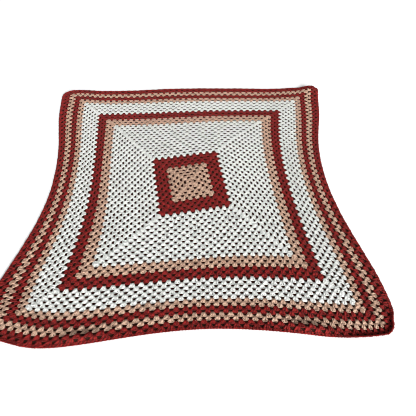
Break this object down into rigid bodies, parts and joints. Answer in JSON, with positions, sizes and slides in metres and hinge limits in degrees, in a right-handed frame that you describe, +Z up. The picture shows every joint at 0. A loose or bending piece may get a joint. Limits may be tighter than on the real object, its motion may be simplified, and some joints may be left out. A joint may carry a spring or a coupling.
{
  "type": "crocheted throw blanket",
  "caption": "Square crocheted granny throw lying open, worked in colour bands from a centre motif to a plain edging, with corners that curl up.",
  "frame": {"origin": "under the middle of the throw's box, on the floor it lies on", "axes": "+X to the right and +Y to the back of the throw as it lies, +Z up out of its upper side"},
  "size_m": [1.2676, 1.1635, 0.028],
  "materials": {
    "tan_yarn": "soft matte plied acrylic yarn",
    "burgundy_yarn": "soft matte plied acrylic yarn",
    "cream_yarn": "soft matte plied acrylic yarn"
  },
  "bodies": {
    "root": {"centre_motif_tan": "tan_yarn", "inner_frame_burgundy": "burgundy_yarn", "main_field_cream": "cream_yarn", "field_frame_tan": "tan_yarn", "field_frame_burgundy": "burgundy_yarn", "outer_field_cream": "cream_yarn", "inner_stripe_tan": "tan_yarn", "middle_stripe_burgundy": "burgundy_yarn", "outer_stripe_tan": "tan_yarn", "border_burgundy": "burgundy_yarn", "edging_burgundy": "burgundy_yarn"}
  },
  "joints": []
}
